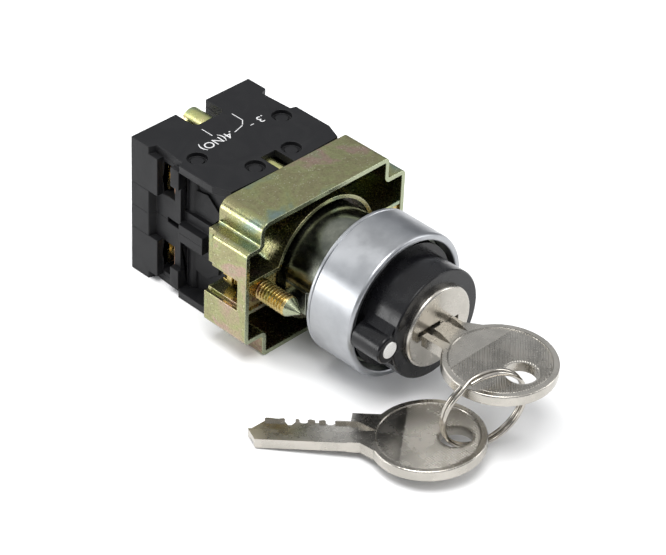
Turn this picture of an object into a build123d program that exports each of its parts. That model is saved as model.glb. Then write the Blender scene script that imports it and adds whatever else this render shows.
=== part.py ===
from build123d import *
import math
import os

# Key-operated selector switch: a keyed head for a round panel hole, a sheet-metal fixing bracket
# behind the panel, and two contact blocks. All sizes are in millimetres.
# Frame: the lock axis is Y and the key side is -Y. +Z is up and +X is to the right seen from the
# key. The origin is on the lock axis, in the plane where the bezel seats on the panel.

# ---- panel seat and bezel
SHANK_R = 10.9            # body that passes through a 22.3 mm panel hole
BEZEL_R = 14.5
BEZEL_DEPTH = 11.0
BEZEL_LIP = 1.4           # width of the bezel's front ring
BEZEL_SEAT = 1.1          # width of the bezel's rear edge outside the gasket
BEZEL_WEB = 5.0           # depth of the solid rear part of the bezel
GASKET_DEPTH = 1.0
GASKET_WIDTH = 2.0

# ---- fits
TURN_FIT = 0.05           # radial clearance of a turning or sliding fit
SLIDE_GAP = 0.12          # clearance beside a flat sliding face
AXIAL_GAP = 0.2           # clearance in front of and behind a turning part
PRESS_LINE = 0.02         # clearance of parts that are pressed together

# ---- operating collar and lock
COLLAR_R = 10.95
COLLAR_FRONT = 18.2       # how far the collar stands in front of the panel
COLLAR_BASE_R = 12.3
COLLAR_BASE_DEPTH = 2.2
LUG_CENTRE = 11.4         # pointer lug, measured from the axis
LUG_R = 2.9
LUG_DEPTH = 8.6
INSERT_R = 1.7
INSERT_DEPTH = 2.0
FAIRING_X = 8.4           # where the lug's flanks run out into the collar
FAIRING_Z = 6.1
FAIRING_FRONT = 0.45      # how far the flanks stay behind the collar's front edge
HEAD_WALL = 1.75          # wall of the cast shank
KEEL_PROUD = 0.4          # keel on the shank's side, and where it runs along Y and Z
KEEL_Y = (3.2, 8.6)
KEEL_Z = (-4.4, 0.6)
SHELL_STEP = 1.05         # the lock sleeve is thinner in front by this
SLEEVE_WALL = 1.4
PLUG_FACE = 19.35         # how far the plug face stands in front of the panel
PLUG_FACE_DEPTH = 1.75
MOUTH_HALF = 4.85         # half the length of the keyway's mouth
MOUTH_DEPTH = 1.3
MOUTH_SKEW = 0.55         # how far the mouth's two ends are offset across the blade
PLUG_REAR = 8.2
PLUG_TAIL = 5.0           # square drive at the back of the plug
PLUG_TAIL_DEPTH = 0.9
SHELL_FRONT = -4.0
SHELL_REAR = 7.0
SHELL_GROOVE = 0.9
WAFER_COUNT = 5
WAFER_FIRST = -16.2       # place of the first wafer along the axis
WAFER_PITCH = 2.4
WAFER_THICK = 0.9
WAFER_HALF_HEIGHT = 3.9
WAFER_NOTCH_X = 1.6       # where the notch for a wafer's spring ends
WAFER_SPRING_R = 0.4
DETENT_BALL_R = 0.8
DETENT_STEP = 45.0        # degrees between key positions
DETENT_PLACE = 3.0        # place of the detent along the axis

# ---- key
KEY_BOW_R = 10.5
KEY_BOW_THICK = 2.2
KEY_BLADE_THICK = 1.9
KEY_BLADE_HALF = 3.15     # half the width of the uncut blade
KEY_LENGTH = 32.1         # bow centre to tip
KEY_SHOULDER = 14.0       # bow centre to the shoulder that stops the key
KEY_NECK_HALF = 5.3
KEY_HOLE_R = 3.0
KEY_HOLE_OFFSET = 4.9
KEY_RIM = 1.1             # width of the raised rim of the bow
KEY_FIELD_DEPTH = 0.14
KEY_FLUTE_DEPTH = 0.55
KEY_FLUTES = (            # face, the flute's two edges across the blade, place of its pointed end
    (1, -2.9, 0.1, (9.2, -0.6)),
    (-1, 0.75, 2.55, (9.4, 1.8)),
    (-1, -3.9, -2.2, (8.8, -3.2)),
)
KEY_FLUTE_POINT = 3.6     # length over which a flute widens from its point
KEY_EDGE = 0.3            # rounding of the bow's edges
KEY_STOP_GAP = 0.5        # shoulder to plug face when the key is in
KEY_CUTS = (0.15, 1.2, 0.5, 0.25, 0.7)   # depth of each bitting cut, tip first

# ---- split ring
RING_R = 8.2
RING_WIRE_R = 0.45
RING_PITCH = 0.84         # distance between its two coils
RING_CENTRE = (-6.54, -36.35, -4.95)
RING_NORMAL = (0.29, 0.955, 0.06)

# ---- spare key: its bow centre, and the way that it lies on the ring and the floor
SPARE_CENTRE = (-13.77, -30.46, -11.45)
SPARE_HEADING = 128.3
SPARE_PITCH = 4.5
SPARE_ROLL = 1.2

# ---- fixing bracket
BRACKET_FRONT = 9.4
BRACKET_DEPTH = 10.9
BRACKET_HALF_X = 20.5
BRACKET_LONG_X = 17.0     # half width of the top on its long side
BRACKET_SHORT_X = 15.9    # half width of the top on its short side
SHOULDER_Z = 10.3
SHEET = 1.0
TOP_BEND_R = 2.4
SMALL_BEND_R = 1.15
INNER_BEND_R = 0.5
WINDOW_HALF = 3.3
WINDOW_STRIP = 2.25       # strip left in front of each side window
EAR_SETBACK = 2.0
COLLAR_FREE = 1.0         # room between the shank and the bracket's collar
COLLAR_SHEET = 0.8
EAR_Z = 2.75              # underside of the collar's flat ears
BASE_HOLE_R = 9.6
BASE_LOBE = (9.2, 8.6, 2.2)   # x, z and radius of the four holes round the base hole
SEAT_FRONT = 13.2         # front of the ring that centres the shank

# ---- clamp screws
CLAMP_X = 15.6
CLAMP_R = 2.0
CLAMP_TIP = 0.35          # gap from the panel seat to the screw tip
CLAMP_CONE = 2.7
CLAMP_HEAD_R = 2.45
CLAMP_HEAD_DEPTH = 2.3
CLAMP_LENGTH = 17.6
NUT_DEPTH = 1.7
DRIVER_CLEARANCE = 0.35

# ---- contact blocks
BLOCK_HALF_X = 15.0
BLOCK_DEPTH = 26.0
BLOCK_HEIGHT = 15.0
COVER_THICK = 1.6
WALL = 1.5
TERMINAL_FRONT = 18.8     # depth, from the block's front, where the solid rear corner begins
WINDOW_FRONT = 15.4       # depth where the wire window begins
RIB_FRONT = 13.1          # depth where the rib in front of the wire window begins
SIDE_RECESS = 3.4
LATCH_SLOT = (13.2, 17.4, 0.55)   # depths of its two ends, and half its height
LATCH_SLOT_SINK = 1.2
PARTING_WALL = 5.1
PARTING_RIB = 9.2
STAKE_R = 1.3
BOSS_R = 1.8              # foot of each staked pin inside the block
STAKE_PITS = ((-10.8, 12.5), (10.8, 12.5), (-4.6, 3.6), (4.6, 3.6))
STAKE_PIT_R = 1.95
STAKE_PIT_DEPTH = 0.9
STAKE_PROUD = 0.35        # staked head above the pit's floor
STUD_R = 1.5
STUD_HEAD_R = 2.42
STUD_HEAD_LENGTH = 5.9
STUD_Z = 12.4
STUD_TAP_R = 1.25
STUD_TAP_DEPTH = 4.2
STUD_SLOT_HALF = 3.8
STUD_SLOT_DEPTH = 5.4
NOTCH = ((1.9, 0.0), (1.9, 5.0))          # half of the notch in the cover's front edge

# ---- switching parts
STROKE = 1.6              # plunger travel for one detent step
PUSHER_R = 1.5
PUSHER_RADIUS = 6.0       # distance of each pusher from the lock axis
PUSHER_GAP = 0.14
CAM_GAP = 1.2             # room between the cam and the head's bore
CAM_FRONT = 8.5
CAM_WELL_R = 2.6          # well for the cam's screw
CAM_FACE = 12.0           # place of the cam's slanted face on the axis
CAM_WEB = 0.9
GUIDE_FRONT = 16.0
GUIDE_DEPTH = 1.6
CLIP_DEPTH = 0.7
CLIP_BITE = 0.5
HEAD_REAR = 18.4
CONTACT_GAP = 0.1         # gap left when a contact is closed
BRIDGE_HALF_X = 8.6
BRIDGE_THICK = 0.6
BRIDGE_PLACE = 9.0        # depth of the bridge in its block
TIP_X = 7.0
TIP_R = 1.3
TIP_THICK = 0.5
CARRIER_HALF_X = 2.6
CARRIER_HALF_Z = 3.2
CARRIER_DEPTH = 3.0       # carrier in front of the bridge
CARRIER_LIP = 1.2         # carrier behind the bridge
CARRIER_CHEEK = 1.3
STEM_EXTRA = 0.3          # the plunger's stem is thicker than the pusher by this
TAIL_LENGTH = 3.6
SPRING_WIRE_R = 0.3
SPRING_COIL_R = 2.1
SPRING_TURNS = 5

# ---- terminals
TERMINAL_X = 10.4
TERMINAL_Z = 8.4
TERMINAL_R = 1.75
TERMINAL_HEAD_R = 2.9
TERMINAL_HEAD_DEPTH = 2.1
TERMINAL_TRAVEL = 1.4     # how far a terminal screw goes in when it is tightened
TERMINAL_PLATE = 15.8     # depth of the contact plate that the screw is threaded into
SADDLE_THICK = 1.0
SADDLE_HALF = 2.6
STRIP_THICK = 0.8         # fixed contact strip

# ---- values that follow from the sizes above
BEZEL_BORE_R = BEZEL_R - BEZEL_LIP
GASKET_OUTER_R = BEZEL_R - BEZEL_SEAT
SHELL_R = SHANK_R - HEAD_WALL - TURN_FIT
SLEEVE_R = SHELL_R - SHELL_STEP
PLUG_R = SLEEVE_R - SLEEVE_WALL - TURN_FIT
PLUG_FACE_R = SLEEVE_R + 0.08
CAM_R = SHELL_R - CAM_GAP
COLLAR_BORE_R = SHANK_R + COLLAR_FREE
BRACKET_REAR = BRACKET_FRONT + BRACKET_DEPTH
BLOCK_FRONT = BRACKET_REAR
BLOCK_REAR = BLOCK_FRONT + BLOCK_DEPTH
HEAD_BORE_R = SHELL_R + TURN_FIT
HEAD_FLANGE_FRONT = -BEZEL_WEB - 2.7
KEY_BOW_PLACE = -(PLUG_FACE + KEY_STOP_GAP + KEY_SHOULDER)
CAM_SLOPE = STROKE / (PUSHER_RADIUS * math.sin(math.radians(DETENT_STEP)))
PUSHER_CENTRE = CAM_FACE + (PUSHER_R + PUSHER_GAP) * math.sqrt(1 + CAM_SLOPE ** 2)
COVER_Z = BLOCK_HEIGHT - COVER_THICK
CONTACT_OPEN = STROKE + CONTACT_GAP
NUT_FRONT = BRACKET_FRONT + 0.5
GUIDE_REAR = GUIDE_FRONT + GUIDE_DEPTH
PLUNGER_FRONT = GUIDE_REAR + CLIP_DEPTH + STROKE + AXIAL_GAP / 2
CARRIER_REAR = BRIDGE_PLACE + BRIDGE_THICK + CARRIER_LIP
RIB_INNER = STAKE_PITS[1][0] + BOSS_R + 0.15
STUD_HEAD_FRONT = BLOCK_REAR - STUD_HEAD_LENGTH
TERMINAL_TIP = STAKE_PITS[1][1] + BOSS_R + TERMINAL_TRAVEL + 0.2
SADDLE_FRONT = TERMINAL_PLATE + STRIP_THICK + TERMINAL_TRAVEL + 0.2


# ---- small helpers
def slab(x0, x1, y0, y1, z0, z1):
    """Block between two corners."""
    centre = Pos((x0 + x1) / 2, (y0 + y1) / 2, (z0 + z1) / 2)
    return centre * Box(abs(x1 - x0), abs(y1 - y0), abs(z1 - z0))


def rod(radius, y0, y1, x=0.0, z=0.0):
    """Cylinder along Y."""
    return Pos(x, (y0 + y1) / 2, z) * Rot(X=90) * Cylinder(radius, abs(y1 - y0))


def pillar(radius, z0, z1, x=0.0, y=0.0):
    """Cylinder along Z."""
    return Pos(x, y, (z0 + z1) / 2) * Cylinder(radius, abs(z1 - z0))


def turned(*points):
    """Solid of revolution about Y from (radius, y) points."""
    return revolve(make_face(Polyline(*points, close=True)), Axis.Y)


def prism_y(sketch, y0, y1):
    """Sketch of (x, z) carried from y0 to y1."""
    return Pos(0, y1, 0) * Rot(X=90) * extrude(sketch, y1 - y0)


def outline(*points):
    """Flat face from corner points."""
    return make_face(Polyline(*points, close=True))


def half_turn(shape):
    """Shape turned half a turn about the lock axis."""
    return Rot(Y=180) * shape


def coil(wire_r, coil_r, y0, y1, turns, x=0.0, z=0.0):
    """Compression spring along Y, as flat rings joined by two side rails of wire."""
    step = (y1 - y0 - 2 * wire_r) / turns
    ring = Rot(X=90) * Torus(coil_r, wire_r)
    rings = [Pos(x, y0 + wire_r + step * i, z) * ring for i in range(turns + 1)]
    for side in (-1, 1):
        rings.append(rod(wire_r, y0 + wire_r, y1 - wire_r, x + side * coil_r, z))
    return rings[0].fuse(*rings[1:])


# ---- head
def bezel_ring():
    """Bezel: deep bore in front, solid web behind, and a groove for the gasket."""
    web = SHANK_R + TURN_FIT
    outer = GASKET_OUTER_R
    inner = outer - GASKET_WIDTH
    body = turned((web, -BEZEL_WEB), (BEZEL_BORE_R, -BEZEL_WEB), (BEZEL_BORE_R, -BEZEL_DEPTH),
                  (BEZEL_R, -BEZEL_DEPTH), (BEZEL_R, 0), (outer, 0), (outer, -GASKET_DEPTH),
                  (inner, -GASKET_DEPTH), (inner, 0), (web, 0))
    front = body.edges().filter_by(GeomType.CIRCLE).group_by(Axis.Y)[0]
    return fillet(front, BEZEL_LIP * 0.42)


def panel_gasket():
    """Rubber ring in the bezel's groove, flush with the seat."""
    bore = rod(GASKET_OUTER_R - GASKET_WIDTH, -GASKET_DEPTH - 1, 1)
    return rod(GASKET_OUTER_R, -GASKET_DEPTH, 0) - bore


def head_body():
    """Cast body: front flange inside the bezel, shank through the panel, groove for the rear clip."""
    flange = BEZEL_BORE_R - TURN_FIT
    bite = HEAD_BORE_R + CLIP_BITE
    clip_rear = GUIDE_REAR + CLIP_DEPTH
    body = turned((HEAD_BORE_R, HEAD_FLANGE_FRONT), (flange, HEAD_FLANGE_FRONT), (flange, -BEZEL_WEB),
                  (SHANK_R, -BEZEL_WEB), (SHANK_R, HEAD_REAR), (HEAD_BORE_R, HEAD_REAR),
                  (HEAD_BORE_R, clip_rear), (bite, clip_rear), (bite, GUIDE_REAR),
                  (HEAD_BORE_R, GUIDE_REAR))
    body += slab(-SHANK_R - KEEL_PROUD, -SHANK_R + HEAD_WALL / 2, *KEEL_Y, *KEEL_Z)
    return body - rod(HEAD_BORE_R, HEAD_FLANGE_FRONT - 1, GUIDE_REAR)


def lock_shell():
    """Fixed sleeve round the plug, with two long grooves that the wafers lock into."""
    front = -(PLUG_FACE - PLUG_FACE_DEPTH) + AXIAL_GAP
    bore = PLUG_R + TURN_FIT
    body = turned((bore, front), (SLEEVE_R, front), (SLEEVE_R, SHELL_FRONT), (SHELL_R, SHELL_FRONT),
                  (SHELL_R, SHELL_REAR), (bore, SHELL_REAR))
    reach = bore + SHELL_GROOVE
    for side in (-1, 1):
        body -= slab(side * (bore - 1.5), side * reach, front + 0.8, SHELL_FRONT + 3.0, -1.3, 1.3)
    return body - detent_bore()


def detent_bore():
    """Round hole under the axis that holds the detent ball."""
    return pillar(DETENT_BALL_R + TURN_FIT, -SHELL_R - 1, -PLUG_R, y=DETENT_PLACE)


def detent_ball():
    """Ball that clicks into the plug's dimples."""
    return Pos(0, DETENT_PLACE, -(PLUG_R + TURN_FIT + DETENT_BALL_R)) * Sphere(DETENT_BALL_R)


def detent_spring():
    """Short stack of spring rings behind the ball."""
    top = PLUG_R + TURN_FIT + 2 * DETENT_BALL_R
    ring_r = DETENT_BALL_R - 0.2
    outer = pillar(ring_r, -SHELL_R + TURN_FIT, -top, y=DETENT_PLACE)
    return outer - pillar(ring_r / 2, -SHELL_R - 1, -top + 1, y=DETENT_PLACE)


def wafer_places():
    """Place of each wafer along the axis."""
    return [WAFER_FIRST + WAFER_PITCH * i for i in range(WAFER_COUNT)]


def in_lock(shape):
    """Carry a shape from the lying key's frame to the key's place in the lock."""
    return Pos(0, KEY_BOW_PLACE, 0) * Rot(Z=90) * Rot(X=180) * shape


def flute(face, low, high, point, end, margin):
    """Groove along one face of the lying key, with a pointed front end."""
    side = KEY_BLADE_THICK / 2
    wide = point[0] + KEY_FLUTE_POINT
    shape = outline(point, (wide, low + margin), (end, low + margin), (end, high - margin),
                    (wide, high - margin))
    floor, top = side - KEY_FLUTE_DEPTH, side + KEY_BOW_THICK
    cut = Pos(0, 0, floor + margin) * extrude(shape, top - floor - margin)
    return cut if face > 0 else mirror(cut, Plane.XY)


def keyway(margin):
    """Slot for the blade, less its wards, with a wider skewed mouth at the plug's face."""
    half, thick = KEY_BLADE_HALF + margin, KEY_BLADE_THICK / 2 + margin
    face = KEY_SHOULDER + KEY_STOP_GAP
    end = KEY_LENGTH + 1.0
    slot = slab(face - 1, end, -half, half, -thick, thick)
    for side, low, high, point in KEY_FLUTES:
        slot -= flute(side, low, min(high, half), point, end + 1, margin)
    for side in (-1, 1):
        slot += slab(face - 1, face + MOUTH_DEPTH, 0, side * MOUTH_HALF,
                     side * MOUTH_SKEW - thick, side * MOUTH_SKEW + thick)
    return in_lock(slot)


def lock_plug():
    """Plug that the key turns: bright front disc, body with keyway and wafer slots, square tail."""
    disc_rear = -(PLUG_FACE - PLUG_FACE_DEPTH)
    disc = rod(PLUG_FACE_R, -PLUG_FACE, disc_rear)
    disc = fillet(disc.edges().filter_by(GeomType.CIRCLE).group_by(Axis.Y)[0], 0.6)
    body = disc + rod(PLUG_R, disc_rear, PLUG_REAR)
    body += slab(-PLUG_TAIL / 2, PLUG_TAIL / 2, PLUG_REAR, PLUG_REAR + PLUG_TAIL_DEPTH,
                 -PLUG_TAIL / 2, PLUG_TAIL / 2)
    body -= keyway(SLIDE_GAP)
    slot = WAFER_THICK / 2 + TURN_FIT
    for place in wafer_places():
        body -= slab(-PLUG_R - 1, PLUG_R + 1, place - slot, place + slot,
                     -WAFER_HALF_HEIGHT - TURN_FIT, WAFER_HALF_HEIGHT + TURN_FIT)
    for turn in (-1, 0, 1):
        dimple = Pos(0, DETENT_PLACE, -(PLUG_R + DETENT_BALL_R - 0.3)) * Sphere(DETENT_BALL_R + 0.15)
        body -= Rot(Y=turn * DETENT_STEP) * dimple
    return body - rod(1.25, PLUG_REAR - 4.5, PLUG_REAR + PLUG_TAIL_DEPTH + 1)


def wafer(place):
    """One wafer: a plate across the plug with a window for the blade and a notch for its spring."""
    y0, y1 = place - WAFER_THICK / 2, place + WAFER_THICK / 2
    plate = rod(PLUG_R, y0, y1) & slab(-PLUG_R, PLUG_R, y0, y1, -WAFER_HALF_HEIGHT, WAFER_HALF_HEIGHT)
    window_x, window_z = KEY_BLADE_HALF + SLIDE_GAP, KEY_BLADE_THICK / 2 + SLIDE_GAP
    plate -= slab(-window_x, window_x, y0 - 1, y1 + 1, -window_z, window_z)
    notch_z = WAFER_HALF_HEIGHT - 2 * WAFER_SPRING_R - 0.2
    return plate - slab(-PLUG_R, -WAFER_NOTCH_X, y0 - 1, y1 + 1, notch_z, WAFER_HALF_HEIGHT + 1)


def wafer_tumblers():
    """All the wafers."""
    return Compound(children=[wafer(place) for place in wafer_places()])


def wafer_springs():
    """One small spring beside each wafer, along X."""
    z = WAFER_HALF_HEIGHT - WAFER_SPRING_R - 0.05
    length = math.sqrt(PLUG_R ** 2 - WAFER_HALF_HEIGHT ** 2) - WAFER_NOTCH_X
    spring = Rot(Y=90) * (Cylinder(WAFER_SPRING_R, length) - Cylinder(WAFER_SPRING_R * 0.5, length + 1))
    middle = -WAFER_NOTCH_X - length / 2
    return Compound(children=[Pos(middle, place, z) * spring for place in wafer_places()])


def key_collar():
    """Black operating collar with its pointer lug and a wider base inside the bezel."""
    bore = SLEEVE_R + TURN_FIT
    rear = HEAD_FLANGE_FRONT - AXIAL_GAP
    base_front = rear - COLLAR_BASE_DEPTH
    seat = -(PLUG_FACE - PLUG_FACE_DEPTH) + AXIAL_GAP * 0.5
    body = turned((PLUG_FACE_R, -COLLAR_FRONT), (COLLAR_R, -COLLAR_FRONT), (COLLAR_R, base_front),
                  (COLLAR_BASE_R, base_front), (COLLAR_BASE_R, rear), (bore, rear), (bore, seat),
                  (PLUG_FACE_R, seat))
    lug_front, lug_rear = -COLLAR_FRONT + 0.25, -COLLAR_FRONT + LUG_DEPTH
    lug_rear = min(lug_rear, -BEZEL_DEPTH - AXIAL_GAP)
    lug = rod(LUG_R, lug_front, lug_rear, x=-LUG_CENTRE)
    lug = fillet(lug.edges().filter_by(GeomType.CIRCLE).group_by(Axis.Y)[0], 0.5)
    flanks = outline((-LUG_CENTRE, LUG_R), (-LUG_CENTRE, -LUG_R), (-FAIRING_X, -FAIRING_Z),
                     (-FAIRING_X, FAIRING_Z))
    lug += prism_y(flanks, -COLLAR_FRONT + FAIRING_FRONT, lug_rear)
    body += lug - rod(COLLAR_R - 1.0, -COLLAR_FRONT - 1, 0)
    rim = body.edges().filter_by(GeomType.CIRCLE).group_by(Axis.Y)[0].sort_by(SortBy.RADIUS)[-1]
    body = fillet(rim, 0.3)
    return body - rod(INSERT_R, -COLLAR_FRONT - 1, -COLLAR_FRONT + INSERT_DEPTH, x=-LUG_CENTRE)


def pointer_insert():
    """White dot in the pointer lug."""
    dot = rod(INSERT_R, -COLLAR_FRONT + 0.1, -COLLAR_FRONT + INSERT_DEPTH, x=-LUG_CENTRE)
    return fillet(dot.edges().filter_by(GeomType.CIRCLE).group_by(Axis.Y)[0], 0.25)


def switch_cam():
    """Cam on the plug's tail: its slanted rear face drives the two pushers."""
    top = CAM_FACE + CAM_SLOPE * CAM_R + 1
    body = rod(CAM_R, CAM_FRONT, top)
    profile = outline((-CAM_R - 1, CAM_FACE - CAM_SLOPE * (CAM_R + 1)),
                      (CAM_R + 1, CAM_FACE + CAM_SLOPE * (CAM_R + 1)),
                      (CAM_R + 1, top + 1), (-CAM_R - 1, top + 1))
    body -= Pos(0, 0, -CAM_R - 1) * extrude(profile, 2 * CAM_R + 2)
    seat = PLUG_TAIL / 2 + TURN_FIT
    tail_end = PLUG_REAR + PLUG_TAIL_DEPTH + TURN_FIT
    body -= slab(-seat, seat, CAM_FRONT - 1, tail_end, -seat, seat)
    body -= rod(1.3, CAM_FRONT, top)
    return body - rod(CAM_WELL_R, tail_end + CAM_WEB, top)


def cam_screw():
    """Screw that holds the cam on the plug."""
    seat = PLUG_REAR + PLUG_TAIL_DEPTH + TURN_FIT + CAM_WEB
    screw = rod(1.25, seat - 5.0, seat) + rod(2.5, seat, seat + 1.4)
    return screw - slab(-3, 3, seat + 0.8, seat + 2, -0.3, 0.3)


def pusher_guide():
    """Disc that closes the head and guides the two pushers."""
    body = rod(SHELL_R, GUIDE_FRONT, GUIDE_REAR)
    for side in (-1, 1):
        body -= rod(PUSHER_R + TURN_FIT, GUIDE_FRONT - 1, HEAD_REAR, z=side * PUSHER_RADIUS)
    return body


def guide_clip():
    """Open spring clip in the head's groove behind the guide."""
    outer = HEAD_BORE_R + CLIP_BITE - TURN_FIT
    inner = PUSHER_RADIUS + PUSHER_R + PUSHER_GAP
    ring = rod(outer, GUIDE_REAR, GUIDE_REAR + CLIP_DEPTH) - rod(inner, GUIDE_REAR - 1, GUIDE_REAR + 2)
    return ring - slab(0, outer + 1, GUIDE_REAR - 1, GUIDE_REAR + 2, -2.2, 2.2)


# ---- keys and ring
def key_profile():
    """Outline of the key, with the bow's centre at the origin and the tip towards +X."""
    half = KEY_BLADE_HALF
    points = [(KEY_LENGTH, 0.0), (KEY_LENGTH - 1.7, half), (KEY_SHOULDER - 2.2, half),
              (KEY_SHOULDER - 5.2, KEY_NECK_HALF), (0, KEY_NECK_HALF),
              (0, -KEY_NECK_HALF), (KEY_SHOULDER, -KEY_NECK_HALF), (KEY_SHOULDER, -half)]
    flat, ramp = WAFER_PITCH * 0.14, WAFER_PITCH * 0.32
    for place, cut in zip(wafer_places(), reversed(KEY_CUTS)):
        centre = place - KEY_BOW_PLACE
        points += [(centre - flat - ramp, -half), (centre - flat, -half + cut),
                   (centre + flat, -half + cut), (centre + flat + ramp, -half)]
    points.append((KEY_LENGTH - 2.9, -half))
    return make_face(Polyline(*points, close=True))


def plain_key():
    """Cut key lying flat, tip towards +X, thickness along Z."""
    blade = Pos(0, 0, -KEY_BLADE_THICK / 2) * extrude(key_profile(), KEY_BLADE_THICK)
    neck = slab(0, KEY_SHOULDER, -KEY_NECK_HALF, KEY_NECK_HALF, -KEY_BOW_THICK / 2, KEY_BOW_THICK / 2)
    neck &= Pos(0, 0, -KEY_BOW_THICK / 2) * extrude(key_profile(), KEY_BOW_THICK)
    bow = Cylinder(KEY_BOW_R, KEY_BOW_THICK)
    key = blade + neck + fillet(bow.edges().filter_by(GeomType.CIRCLE), KEY_EDGE)
    for face, low, high, point in KEY_FLUTES:
        key -= flute(face, low, high, point, KEY_LENGTH + 1, 0)
    for side in (-1, 1):
        top = side * KEY_BOW_THICK / 2
        key -= pillar(KEY_BOW_R - KEY_RIM, top - side * KEY_FIELD_DEPTH, top + side)
    return key - Pos(-KEY_HOLE_OFFSET, 0, 0) * Cylinder(KEY_HOLE_R, KEY_BOW_THICK + 2)


def key_inserted():
    """Key pushed fully into the plug."""
    return in_lock(plain_key())


def spare_key():
    """Second key, resting on the ring and the floor."""
    place = Pos(*SPARE_CENTRE) * Rot(Z=SPARE_HEADING) * Rot(Y=SPARE_PITCH) * Rot(X=SPARE_ROLL)
    return place * plain_key()


def split_ring():
    """Two touching coils of wire."""
    plane = Plane(origin=RING_CENTRE, z_dir=RING_NORMAL)
    coils = [plane.location * Pos(0, 0, side * RING_PITCH / 2) * Torus(RING_R, RING_WIRE_R)
             for side in (-1, 1)]
    return coils[0] + coils[1]


# ---- bracket
def band_outline():
    """Outer outline of the bracket seen from the front, the same after half a turn."""
    long_x, short_x = BRACKET_LONG_X, BRACKET_SHORT_X
    half = [(-BRACKET_HALF_X, SHOULDER_Z), (-long_x, SHOULDER_Z), (-long_x, BLOCK_HEIGHT),
            (short_x, BLOCK_HEIGHT), (short_x, SHOULDER_Z), (BRACKET_HALF_X, SHOULDER_Z)]
    points = half + [(-x, -z) for x, z in half]
    face = make_face(Polyline(*points, close=True))
    corners = face.vertices()
    top = [v for v in corners if abs(v.Y) > BLOCK_HEIGHT - 0.01]
    bends = [v for v in top if abs(v.X + math.copysign(long_x, v.Y)) < 0.01]
    inner = [v for v in corners if v not in top and abs(v.X) < BRACKET_HALF_X - 0.01]
    rest = [v for v in corners if v not in bends and v not in inner]
    face = fillet(bends, TOP_BEND_R)
    face = fillet(matching(face, inner), INNER_BEND_R)
    return fillet(matching(face, rest), SMALL_BEND_R)


def matching(face, corners):
    """Vertices of the face that lie where the given corners lie."""
    places = [(round(c.X, 2), round(c.Y, 2)) for c in corners]
    return [v for v in face.vertices() if (round(v.X, 2), round(v.Y, 2)) in places]


def bracket_frame():
    """Bent sheet band with side windows, and the base plate that the blocks screw to."""
    outer = band_outline()
    hollow = offset(outer, amount=-SHEET)
    band = prism_y(outer, BRACKET_FRONT, BRACKET_REAR)
    band -= prism_y(hollow, BRACKET_FRONT - 1, BRACKET_REAR - SHEET)
    edge = BRACKET_HALF_X + 1
    wall = BRACKET_HALF_X - SHEET - 0.02
    for side in (-1, 1):
        band -= slab(side * edge, side * wall, BRACKET_FRONT + WINDOW_STRIP, BRACKET_REAR + 1,
                     -WINDOW_HALF, WINDOW_HALF)
        band -= slab(side * edge, side * wall, BRACKET_REAR - EAR_SETBACK, BRACKET_REAR + 1,
                     -side * WINDOW_HALF * 0.9, -side * (SHOULDER_Z + 0.2))
        band -= rod(CLAMP_HEAD_R + DRIVER_CLEARANCE, BRACKET_REAR - 2 * SHEET, BRACKET_REAR + 1,
                    x=side * CLAMP_X)
        band -= slab(side * CLAMP_X, side * edge, BRACKET_REAR - SHEET - 0.01, BRACKET_REAR + 1,
                     -CLAMP_HEAD_R - DRIVER_CLEARANCE, CLAMP_HEAD_R + DRIVER_CLEARANCE)
        band -= rod(STUD_R, BRACKET_REAR - 2 * SHEET, BRACKET_REAR + 1, z=side * STUD_Z)
        for lobe in (-1, 1):
            x, z, radius = BASE_LOBE
            band -= rod(radius, BRACKET_REAR - 2 * SHEET, BRACKET_REAR + 1, x=lobe * x, z=side * z)
    return band - rod(BASE_HOLE_R, BRACKET_REAR - 2 * SHEET, BRACKET_REAR + 1)


def collar_half():
    """Half of the round collar round the shank, with flat ears that reach the bracket's side walls."""
    reach = BRACKET_HALF_X - SHEET
    ear = EAR_Z + COLLAR_SHEET
    outer = Circle(COLLAR_BORE_R + COLLAR_SHEET) + Rectangle(2 * reach, 2 * ear)
    inner = Circle(COLLAR_BORE_R) + Rectangle(2 * reach + 1, 2 * EAR_Z)
    whole = prism_y(outer - inner, BRACKET_FRONT + 0.1, BRACKET_REAR - SHEET)
    return whole & slab(-reach, reach, 0, BRACKET_REAR, 0, BRACKET_HALF_X)


def head_seat():
    """Ring that centres the head's shank in the bracket's collar."""
    ring = rod(COLLAR_BORE_R - PRESS_LINE, SEAT_FRONT, HEAD_REAR)
    return ring - rod(SHANK_R, SEAT_FRONT - 1, BRACKET_REAR)


def clamp_nut(side):
    """Threaded plate between the collar's ears."""
    inner = math.sqrt((COLLAR_BORE_R + COLLAR_SHEET) ** 2 - EAR_Z ** 2) + PRESS_LINE
    rear = NUT_FRONT + NUT_DEPTH
    plate = slab(side * inner, side * (BRACKET_HALF_X - SHEET), NUT_FRONT, rear, -EAR_Z, EAR_Z)
    return plate - rod(CLAMP_R + TURN_FIT, NUT_FRONT - 1, rear + 1, x=side * CLAMP_X)


def clamp_screw(side):
    """Cone-point screw with a slotted round head."""
    rear = CLAMP_TIP + CLAMP_LENGTH
    screw = turned((0, CLAMP_TIP), (0.25, CLAMP_TIP), (CLAMP_R, CLAMP_TIP + CLAMP_CONE),
                   (CLAMP_R, rear - CLAMP_HEAD_DEPTH), (CLAMP_HEAD_R, rear - CLAMP_HEAD_DEPTH),
                   (CLAMP_HEAD_R, rear), (0, rear))
    screw -= slab(-CLAMP_HEAD_R - 1, CLAMP_HEAD_R + 1, rear - 1.2, rear + 1, -0.4, 0.4)
    return Pos(side * CLAMP_X, 0, 0) * screw


# ---- contact block, modelled as the upper one; the lower one is the same turned half a turn
def depth(value):
    """Place along Y of a depth measured from the block's front face."""
    return BLOCK_FRONT + value


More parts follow.
